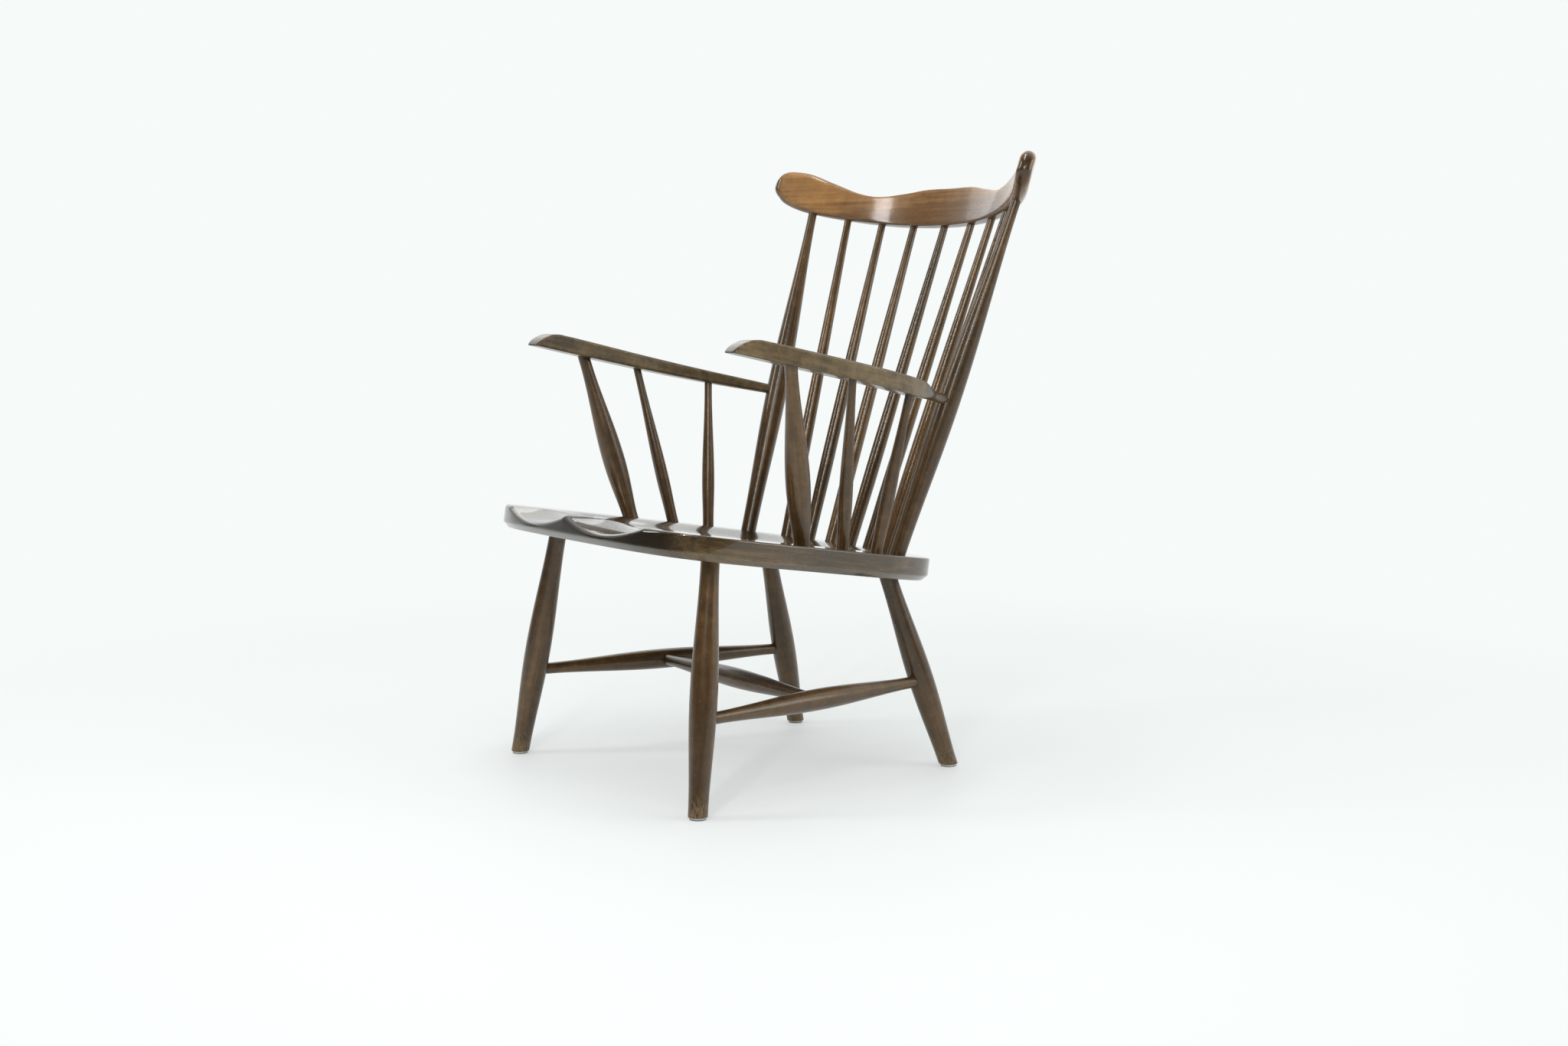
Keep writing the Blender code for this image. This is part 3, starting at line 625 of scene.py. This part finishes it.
def makeSeat():
    plan = seatPlan
    outer = evenSpacing(seatOutline, plan["around"])
    centre = Vector((0.0, (plan["back"] - plan["front"]) / 2))
    low = -plan["thickness"]
    inward = [b - a for a, b in zip(outer, insetCurve(outer, 1.0))]
    # each ring: kind, share of the way from the centre, inset, height and wear, which on the chamfer's
    # upper edge is partly a painted highlight
    # on the top's rounded edge, inset and height are shares of its radius, and the height is a drop
    rings = [("top", k / plan["topRings"], 1.0, 0.0, 0.0) for k in range(plan["topRings"] + 1)]
    for k in range(1, plan["roundRings"] + 1):
        angle = math.pi / 2 * k / plan["roundRings"]
        rings.append(("top", 1.0, 1 - math.sin(angle), 1 - math.cos(angle),
                      plan["rimWear"] * math.sin(2 * angle)))
    soft, chamfer = plan["edgeRound"], plan["chamfer"]
    rings += [("side", 1.0, soft * across, low + chamfer + soft * up, wear)
              for across, up, wear in plan["upperEdge"]]
    rings += [("side", 1.0, chamfer + soft * across, low + soft * up, wear)
              for across, up, wear in plan["lowerEdge"]]
    rings += [("side", share, chamfer + soft, low, 0.0) for share in plan["underRings"]]

    def place(ring, around):
        kind, share, inset, level, wear = ring
        index = round(around * len(outer)) % len(outer)
        if kind == "top":
            ahead = smoothStep((plan["softTo"] - (outer[index].y + plan["front"])) / plan["softTo"])
            radius = plan["topRound"] + (plan["frontRound"] - plan["topRound"]) * ahead
            inset, level = inset * radius, level * radius
        point = centre.lerp(outer[index] + inward[index] * inset, share)
        if kind == "top":
            level = -level - carvedDepth(point.x, point.y, (outer[index] - point).length)
        flat = Vector((point.x, point.y, level))
        return seatMatrix @ flat, Vector((flat.x, flat.z, flat.y)), wear, 0.0

    bm = lofted(rings, plan["around"], place)
    finishPiece("seatPlank", bm, "seatBeech", "seat", seatMatrix.to_3x3() @ Vector((0, 1, 0)),
                Vector(plan["timberSpot"]), sharp=50)


makeSeat()
print("seat made")


# Turned members: bottom, belly and top diameters, the belly's place along the length,
# and the powers of the lower and the upper taper
turnedPlans = {
    "frontLeg": (0.0295, 0.0417, 0.0284, 0.470, 0.90, 0.92),
    "backLeg": (0.0295, 0.0405, 0.0280, 0.455, 0.80, 0.95),
    "sideStretcher": (0.0186, 0.0336, 0.0186, 0.500, 0.85, 0.85),
    "crossStretcher": (0.0175, 0.0325, 0.0175, 0.500, 0.85, 0.85),
    "backPost": (0.0260, 0.0363, 0.0150, 0.420, 0.95, 0.83),
    "backSpindle": (0.0204, 0.0225, 0.0128, 0.220, 1.00, 0.72),
    "frontSupport": (0.0255, 0.0376, 0.0195, 0.350, 0.64, 0.96),
    "middleSupport": (0.0190, 0.0217, 0.0126, 0.270, 1.00, 1.00),
    "rearSupport": (0.0190, 0.0217, 0.0130, 0.290, 1.00, 1.00),
}
turnedPlan = {
    "lead": 0.007,
    "steps": 56,
    "segments": 48,
    "footEase": 0.0009,
    "footEaseSteps": 3,
    "footWear": 0.7,
    "footWearHeight": 0.004,
    "timberSteps": (0.173, 0.377, 0.617),
}
jointPlan = {       # how deep the tenons go
    "seat": 0.024,      # into the seat's top
    "leg": 0.022,       # a leg's own, into the seat from below
    "arm": 0.016,
    "crest": 0.020,
    "post": 0.014,
    "stretcherStop": 0.006,     # this short of the axis of the piece it goes into
}


class Member:       # bottom and top are where it meets its neighbours, and the tenons go on from there
    def __init__(self, node, bottom, top, shape, bottomTenon, topTenon):
        self.node = node
        self.bottom = bottom
        self.top = top
        self.shape = turnedPlans[shape]
        self.bottomTenon = bottomTenon
        self.topTenon = topTenon
        self.length = (top - bottom).length
        self.axis = (top - bottom) / self.length

    def matrix(self):
        return Matrix.Translation(self.bottom) @ self.axis.to_track_quat("Z", "Y").to_matrix().to_4x4()

    def atHeight(self, z):
        return self.bottom + self.axis * ((z - self.bottom.z) / self.axis.z)

    def radius(self, distance):
        bottom, belly, top, bellyAt, lowerPower, upperPower = self.shape
        lead = turnedPlan["lead"]
        first, last = lead, self.length - lead
        middle = first + (last - first) * bellyAt
        if distance <= first:
            return bottom / 2
        if distance >= last:
            return top / 2
        if distance <= middle:
            fullness = swell((distance - first) / (middle - first), lowerPower)
            return (bottom + (belly - bottom) * fullness) / 2
        fullness = swell((last - distance) / (last - middle), upperPower)
        return (top + (belly - top) * fullness) / 2


def turnOnLathe(profile, segments):     # profile: height and radius of each spot
    bm = bmesh.new()
    line = [bm.verts.new((radius, 0.0, height)) for height, radius in profile]
    edges = [bm.edges.new(pair) for pair in zip(line[:-1], line[1:])]
    bmesh.ops.spin(bm, geom=line + edges, axis=(0, 0, 1), cent=(0, 0, 0), steps=segments,
                   angle=math.tau, use_merge=True)
    bmesh.ops.remove_doubles(bm, verts=bm.verts, dist=mergeDistance)
    closeUp(bm)
    grain = bm.verts.layers.float_vector.new("grain")
    bm.verts.layers.float.new("wear")
    for vert in bm.verts:
        vert[grain] = vert.co
    return bm


def makeMember(member, finishName="turnedBeech", sawAt=None):
    plan = turnedPlan
    lead, steps = plan["lead"], plan["steps"]
    heights = [lead + (member.length - 2 * lead) * k / steps for k in range(steps + 1)]
    heights = [-member.bottomTenon] + heights + [member.length + member.topTenon]
    bm = turnOnLathe([(height, member.radius(height)) for height in heights], plan["segments"])
    bmesh.ops.transform(bm, matrix=member.matrix(), verts=bm.verts)
    if sawAt is not None:       # the foot is sawn level, and its edge is eased
        geometry = list(bm.verts) + list(bm.edges) + list(bm.faces)
        bmesh.ops.bisect_plane(bm, geom=geometry, dist=mergeDistance / 10, plane_co=(0, 0, sawAt),
                               plane_no=(0, 0, -1), clear_outer=True)
        rims = [edge for edge in bm.edges if edge.is_boundary]
        bmesh.ops.holes_fill(bm, edges=rims, sides=0)
        bmesh.ops.bevel(bm, geom=rims, offset=plan["footEase"], offset_type="OFFSET",
                        segments=plan["footEaseSteps"], profile=0.5, affect="EDGES", material=-1)
        bmesh.ops.recalc_face_normals(bm, faces=bm.faces)
        wear = bm.verts.layers.float["wear"]
        for vert in bm.verts:
            vert[wear] = plan["footWear"] * max(0.0, 1.0 - (vert.co.z - sawAt) / plan["footWearHeight"])
    number = sorted(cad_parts).index(member.node)
    across, deep, along = (number * step for step in plan["timberSteps"])
    finishPiece(pieceName(member.node), bm, finishName, member.node, member.axis,
                Vector((across % 1.0, deep % 1.0, along % 2.0)))


# Crest rail: a board bent round an arc, leaning back, with a raised middle and risen ears
crestPlan = {
    "radius": 0.455,
    "halfLength": 0.3772,
    "behindSeat": 0.4346,
    "aboveSeat": 0.4986,
    "lean": 19.5,
    "thickness": 0.0246,
    "thinnest": 0.0003,
    "middleWidth": 0.0635,
    "waistWidth": 0.0554,
    "undersideRise": 0.0162,
    "tipRise": 0.0814,
    "earDrop": 0.0510,
    "earCrown": 0.0250,
    "endRound": 0.012,
    "tipLength": 0.029,
    "backRadius": 0.0118,
    "frontRadius": 0.0034,
    "earRadius": 0.0118,
    "radiusFrom": 0.3,      # shares of the half length where the front edge grows rounder
    "radiusRun": 0.5,
    "earFrom": 0.45,        # and where the ear's colour comes in
    "earRun": 0.35,
    # the upward term paints light from above and the rim term paints shade round the ears' rims; the ear
    # and tip terms are the stain's tone
    "fadeBase": -0.05,
    "fadeUpward": 0.38,
    "earEvenness": 0.5,
    "fadeEar": 0.45,
    "shadeRim": 0.6,
    "shadeTip": 0.6,
    "spindleArcs": (0.0, 0.0769, 0.1489, 0.2212),
    "postArc": 0.2932,
    "around": 72,
    "steps": 110,
    "tipSteps": 26,
    "timberSpot": (0.7, 0.2, 1.3),
}


def crestEdges():       # heights of the two edges, each at its share of the way to the tip
    plan = crestPlan
    tip, drop, crown = plan["tipRise"], plan["earDrop"], plan["earCrown"]
    middle, waist = plan["middleWidth"], plan["waistWidth"]
    under = plan["undersideRise"]
    lower = [(0.0, 0.0), (0.120, under * 0.04), (0.321, under * 0.284), (0.578, under),
             (0.783, tip - drop), (0.856, tip - drop * 0.853), (0.942, tip - drop * 0.563),
             (0.970, tip - drop * 0.378), (1.0, tip)]
    upper = [(0.0, middle), (0.159, middle), (0.295, waist + (middle - waist) * 0.35), (0.433, waist),
             (0.549, waist + crown * 0.29), (0.702, tip + crown * 0.055),
             (0.833, tip + crown * 0.784), (0.922, tip + crown), (0.962, tip + crown * 0.953),
             (0.9897, tip + crown * 0.643), (1.0, tip)]
    return lower, upper


crestLower, crestUpper = crestEdges()
crestLean = math.radians(crestPlan["lean"])
crestUp = Vector((0.0, math.sin(crestLean), math.cos(crestLean)))
crestMiddle = Vector((0.0, seatPlan["y"] + crestPlan["behindSeat"],
                      seatPlan["height"] + crestPlan["aboveSeat"]))


def crestPoint(arc, rise):
    turned = arc / crestPlan["radius"]
    behind = math.tan(crestLean) * rise - crestPlan["radius"] * (1.0 - math.cos(turned))
    return crestMiddle + Vector((crestPlan["radius"] * math.sin(turned), behind, rise))


def crestEdge(points, share):
    # paced by the root of the way to the tip, so that the ear ends round
    fromTip = [(math.sqrt(1.0 - spot), height) for spot, height in reversed(points)]
    return through(fromTip, math.sqrt(1.0 - share))


def crestSeat(arc, side):       # where a spindle or post meets the underside
    point = crestPoint(arc, crestEdge(crestLower, arc / crestPlan["halfLength"]))
    return Vector((point.x * side, point.y, point.z))


def makeCrest():
    plan = crestPlan
    half = plan["halfLength"]
    tip = [half - plan["tipLength"] * (1.0 - math.cos(math.pi / 2 * k / plan["tipSteps"]))
           for k in range(plan["tipSteps"])]
    inner = half - plan["tipLength"]
    left = tip + [inner * (1.0 - k / plan["steps"]) for k in range(plan["steps"])]
    arcs = left + [0.0] + [-arc for arc in reversed(left)]

    def place(arc, around):
        side = -1.0 if arc < 0 else 1.0
        arc = abs(arc)
        share = arc / half
        low, high = crestEdge(crestLower, share), crestEdge(crestUpper, share)
        fromTip = min((half - arc) / plan["endRound"], 1.0)
        plump = math.sqrt(max(0.0, 1.0 - (1.0 - fromTip) ** 2))
        halfThick = max(plan["thickness"] * plump, plan["thinnest"]) / 2
        halfTall = max((high - low) / crestUp.z, plan["thinnest"]) / 2
        rounder = smoothStep((share - plan["radiusFrom"]) / plan["radiusRun"])
        frontRadius = plan["frontRadius"] + (plan["earRadius"] - plan["frontRadius"]) * rounder
        across, upward = roundedSection(around, halfThick, halfTall, plan["backRadius"], frontRadius)
        turned = arc / plan["radius"]
        outward = Vector((math.sin(turned), math.cos(turned), 0.0))
        backward = (outward - crestUp * outward.dot(crestUp)).normalized()
        point = crestPoint(arc, (high + low) / 2) + backward * across + crestUp * upward
        grain = Vector((across, (high + low) / 2 + upward, arc * side))

        # painted light: paler upward, as if lit from above, and painted shade round the ears' rims,
        # where the roundover turns from the light; the stain is also paler on the ears and darker at the
        # tips
        ear = smoothStep((share - plan["earFrom"]) / plan["earRun"])
        rim = 1.0 - abs(across) / halfThick
        faded = plan["fadeUpward"] * upward / halfTall * (1.0 - plan["earEvenness"] * ear)
        faded += plan["fadeBase"] + plan["fadeEar"] * ear
        faded -= plan["shadeRim"] * ear * rim + plan["shadeTip"] * (1.0 - fromTip)
        return Vector((point.x * side, point.y, point.z)), grain, 0.0, faded

    def grainAt(spot):      # the grain follows the bend
        turned = math.asin(spot.x / plan["radius"])
        return Vector((math.cos(turned), -math.sin(turned), 0.0))

    bm = lofted(arcs, plan["around"], place)
    finishPiece("crestBoard", bm, "crestBeech", "crest_rail", grainAt, Vector(plan["timberSpot"]),
                sharp=60)


makeCrest()
print("crest rail made")


# Arms: sawn boards that slope down to a round tenon in the back posts. The left one has a shoulder
# there and a shorter nose, and the right one thins all the way back
armPlan = {
    "aboveSeat": 0.2160,
    "slope": 11.8,
    "thickness": 0.0270,
    "length": 0.4668,
    "noseLength": 0.046,
    "noseEdge": 0.0016,
    "noseCut": {"left": 0.0050, "right": 0.0},
    "noseWear": 0.35,
    "tenonRadius": 0.0082,
    "tenonDrop": 0.0018,
    "tenonReach": 0.052,
    "shoulderLength": 0.060,
    "longTaperStart": 0.020,        # the right arm's
    "longTaper": 0.380,
    "longTaperPower": 0.65,
    "halfWidth": 0.0213,
    "tipHalfWidth": 0.0170,
    "bow": 0.0681,
    "tipBow": 0.0531,
    # places along the length or the widening, with shares of the bow, of the tip's bow and of the width
    "bowLine": [(0.044, 0.107), (0.089, 0.222), (0.152, 0.427), (0.218, 0.630), (0.305, 0.822),
                (0.412, 0.956), (0.541, 1.0), (0.672, 0.948)],
    "tipLine": [(0.844, 1.105), (1.0, 1.0)],
    "bladeLine": [(0.18, 0.58), (0.45, 0.77), (0.62, 0.88), (1.0, 1.0)],
    "corner": 0.008,
    "wideningLength": 0.148,
    "taperLength": 0.130,
    "cornerRadius": 0.0034,
    "cornerWear": 0.58,
    "around": 72,
    "tenonSteps": 10,
    "steps": 110,
    "noseSteps": 34,
    "nosePace": 1.7,
    "supportReach": {"rear": 0.1161, "middle": 0.2480, "front": 0.3585},
    "supportOffset": {"rear": -0.0036, "middle": 0.0028, "front": 0.0044},
    "timberSpot": (0.9, 0.3, 0.8),
}
armBowLine = ([(0.0, 0.0)] + [(share, armPlan["bow"] * part) for share, part in armPlan["bowLine"]]
              + [(share, armPlan["tipBow"] * part) for share, part in armPlan["tipLine"]])
armBladeLine = ([(0.0, armPlan["tenonRadius"])]
                + [(share, armPlan["halfWidth"] * part) for share, part in armPlan["bladeLine"]])


def armMatrix(side, post):
    joint = post.atHeight(seatPlan["height"] + armPlan["aboveSeat"])
    return (Matrix.Translation(joint) @ Matrix.Diagonal((side, 1, 1, 1))
            @ Matrix.Rotation(-math.radians(armPlan["slope"]), 4, "X"))


def armCentre(reach):
    return Vector((through(armBowLine, reach / armPlan["length"]), -reach, 0.0))


def armHalfWidth(reach, noseEnd):
    plan = armPlan
    if reach <= plan["tenonReach"]:
        return plan["tenonRadius"]
    widening = (reach - plan["tenonReach"]) / plan["wideningLength"]
    if widening < 1.0:
        return through(armBladeLine, widening)
    fromTip = noseEnd - reach
    taper = smoothStep(1.0 - fromTip / plan["taperLength"])
    half = plan["halfWidth"] + (plan["tipHalfWidth"] - plan["halfWidth"]) * taper
    if fromTip < plan["corner"]:    # the nose's corners are round
        half -= plan["corner"] - math.sqrt(plan["corner"]**2 - (plan["corner"] - fromTip) ** 2)
    return half


def makeArm(sideName, post):
    plan = armPlan
    joint = post.atHeight(seatPlan["height"] + plan["aboveSeat"])
    start = post.radius((joint - post.bottom).length) - jointPlan["post"]
    tenonReach, tenonRadius = plan["tenonReach"], plan["tenonRadius"]
    noseEnd = plan["length"] - plan["noseCut"][sideName]
    noseStart = noseEnd - plan["noseLength"]
    noseFall = plan["thickness"] - plan["noseEdge"]
    noseRadius = (plan["noseLength"]**2 + noseFall**2) / (2 * noseFall)
    reaches = [start]
    reaches += [tenonReach * (1.0 + k / plan["tenonSteps"]) / 2 for k in range(plan["tenonSteps"])]
    reaches += [tenonReach + (noseStart - tenonReach) * k / plan["steps"] for k in range(plan["steps"])]
    reaches += [noseEnd - plan["noseLength"] * (1.0 - k / plan["noseSteps"]) ** plan["nosePace"]
                for k in range(plan["noseSteps"] + 1)]
    matrix = armMatrix(sides[sideName], post)
    nudge = 0.001

    def place(reach, around):
        full = smoothStep((reach - tenonReach) / plan["shoulderLength"])
        if sideName == "right":
            full = min(max((reach - plan["longTaperStart"]) / plan["longTaper"], 0.0), 1.0)
            full = full ** plan["longTaperPower"]
        halfThick = tenonRadius + (plan["thickness"] / 2 - tenonRadius) * full
        low = plan["tenonDrop"] * full - halfThick
        high = plan["tenonDrop"] * full + halfThick
        intoNose = reach - noseStart
        if intoNose > 0:
            high -= noseRadius - math.sqrt(noseRadius**2 - intoNose**2)
        radius = tenonRadius + (plan["cornerRadius"] - tenonRadius) * full
        along = armCentre(min(reach + nudge, plan["length"])) - armCentre(reach - nudge)
        across = Vector((-along.y, along.x, 0.0)).normalized()
        halfWide, halfTall = armHalfWidth(reach, noseEnd), (high - low) / 2
        sideways, upward = roundedSection(around, halfWide, halfTall, radius, radius)
        point = armCentre(reach) + across * sideways + Vector((0.0, 0.0, (low + high) / 2 + upward))
        onCorner = 1.0 + min(abs(upward) - halfTall, abs(sideways) - halfWide) / radius
        rubbed = max(0.0, onCorner) * plan["cornerWear"] * full
        rubbed = max(rubbed, smoothStep(intoNose / plan["noseLength"]) * plan["noseWear"])
        return matrix @ point, Vector((point.x, point.z, point.y)), rubbed, 0.0

    bm = lofted(reaches, plan["around"], place)
    axis = matrix.to_3x3() @ Vector((0, 1, 0))
    shift = Matrix.Diagonal((sides[sideName], 1, 1)) @ Vector(plan["timberSpot"])
    finishPiece("armBoard" + sideName.capitalize(), bm, "armBeech", "arm_" + sideName, axis, shift,
                sharp=50)


# Where every member starts and ends
stancePlan = {      # how far in from the seat's widest, and how far along from its front or back
    "frontTop": (0.0689, 0.1254),
    "backTop": (0.1307, 0.0890),
    "frontFoot": (0.0238, 0.0690),
    "backFoot": (0.0840, 0.0045),
    "stretcherHeight": 0.1415,
    "crossShare": 0.5,
}
socketPlan = {      # how far round the seat's edge from the middle of the back, and how far in
    "spindles": [(0.0, 0.0438), (0.0551, 0.0436), (0.1138, 0.0443), (0.1698, 0.0515)],
    "post": (0.2799, 0.0459),
    "rear": (0.3625, 0.0383),
    "middle": (0.4365, 0.0429),
    "front": (0.5195, 0.0432),
}
glidePlan = {
    "height": 0.0035,
    "radius": 0.0125,
    "edge": 0.001,
    "edgeSteps": 5,
    "pinRadius": 0.0016,
    "pinLength": 0.011,
    "underFoot": 0.0003,
    "segments": 40,
}


def legMembers(side, sideName):
    half, front, back = seatPlan["halfWidth"], seatPlan["front"], seatPlan["back"]
    legs = {}
    for end in ("front", "back"):
        topIn, topAlong = stancePlan[end + "Top"]
        footIn, footAlong = stancePlan[end + "Foot"]
        topV = topAlong - front if end == "front" else back - topAlong
        footV = footAlong - front if end == "front" else back - footAlong
        top = seatMatrix @ Vector(((half - topIn) * side, topV, -seatPlan["thickness"]))
        foot = Vector(((half - footIn) * side, seatPlan["y"] + footV, 0.0))
        legs[end] = Member(f"{end}_leg_{sideName}", foot, top, end + "Leg", 0.0, jointPlan["leg"])
    return legs


def stretcherBetween(node, first, second, start, end, shape):
    axis = (end - start).normalized()
    startRadius = first.radius((start - first.bottom).length)
    endRadius = second.radius((end - second.bottom).length)
    stop = jointPlan["stretcherStop"]
    return Member(node, start + axis * startRadius, end - axis * endRadius, shape,
                  startRadius - stop, endRadius - stop)


def makeGlide(node, leg):
    plan = glidePlan
    height, radius, pinTop = plan["height"], plan["radius"], plan["height"] + plan["pinLength"]
    edge = plan["edge"]
    profile = [(0.0, 0.0)]
    for k in range(plan["edgeSteps"] + 1):
        angle = math.pi / 2 * k / plan["edgeSteps"]
        profile.append((edge * (1 - math.cos(angle)), radius - edge * (1 - math.sin(angle))))
    profile += [(height, radius), (height, plan["pinRadius"]),
                (pinTop, plan["pinRadius"]), (pinTop, 0.0)]
    bm = turnOnLathe(profile, plan["segments"])
    foot = leg.atHeight(height)
    bmesh.ops.transform(bm, matrix=Matrix.Translation((foot.x, foot.y, 0.0)), verts=bm.verts)
    finishPiece(pieceName(node), bm, "glidePlastic", node, Vector((0, 0, 1)), Vector((0, 0, 0)),
                sharp=30)


def makeSide(sideName, side):       # gives back the side stretcher, which carries the cross stretcher
    legs = legMembers(side, sideName)
    for end, leg in legs.items():
        makeMember(leg, sawAt=glidePlan["height"] + glidePlan["underFoot"])
        makeGlide(f"{end}_glide_{sideName}", leg)
    front, back = legs["front"], legs["back"]
    height = stancePlan["stretcherHeight"]
    stretcher = stretcherBetween("side_stretcher_" + sideName, front, back, front.atHeight(height),
                                 back.atHeight(height), "sideStretcher")
    makeMember(stretcher)
    post = Member("back_post_" + sideName, rimPoint(*socketPlan["post"], side),
                  crestSeat(crestPlan["postArc"], side), "backPost",
                  jointPlan["seat"], jointPlan["crest"])
    makeMember(post)
    matrix = armMatrix(side, post)
    for spot, offset in armPlan["supportOffset"].items():
        under = Vector((offset, 0.0, armPlan["tenonDrop"] - armPlan["thickness"] / 2))
        top = matrix @ (armCentre(armPlan["supportReach"][spot]) + under)
        makeMember(Member(f"arm_support_{spot}_{sideName}", rimPoint(*socketPlan[spot], side), top,
                          spot + "Support", jointPlan["seat"], jointPlan["arm"]))
    makeArm(sideName, post)
    return stretcher


def makeFrame():
    stretchers = [makeSide(sideName, side) for sideName, side in sides.items()]
    joints = [stretcher.bottom.lerp(stretcher.top, stancePlan["crossShare"]) for stretcher in stretchers]
    makeMember(stretcherBetween("cross_stretcher", *stretchers, *joints, "crossStretcher"))


def makeSpindles():
    for number in range(1, 8):
        offset = number - 4
        side = 1 if offset > 0 else -1
        bottom = rimPoint(*socketPlan["spindles"][abs(offset)], side)
        top = crestSeat(crestPlan["spindleArcs"][abs(offset)], side)
        makeMember(Member(f"back_spindle_{number}", bottom, top, "backSpindle",
                          jointPlan["seat"], jointPlan["crest"]), "spindleBeech")


makeFrame()
makeSpindles()
print("members, arms and glides made")
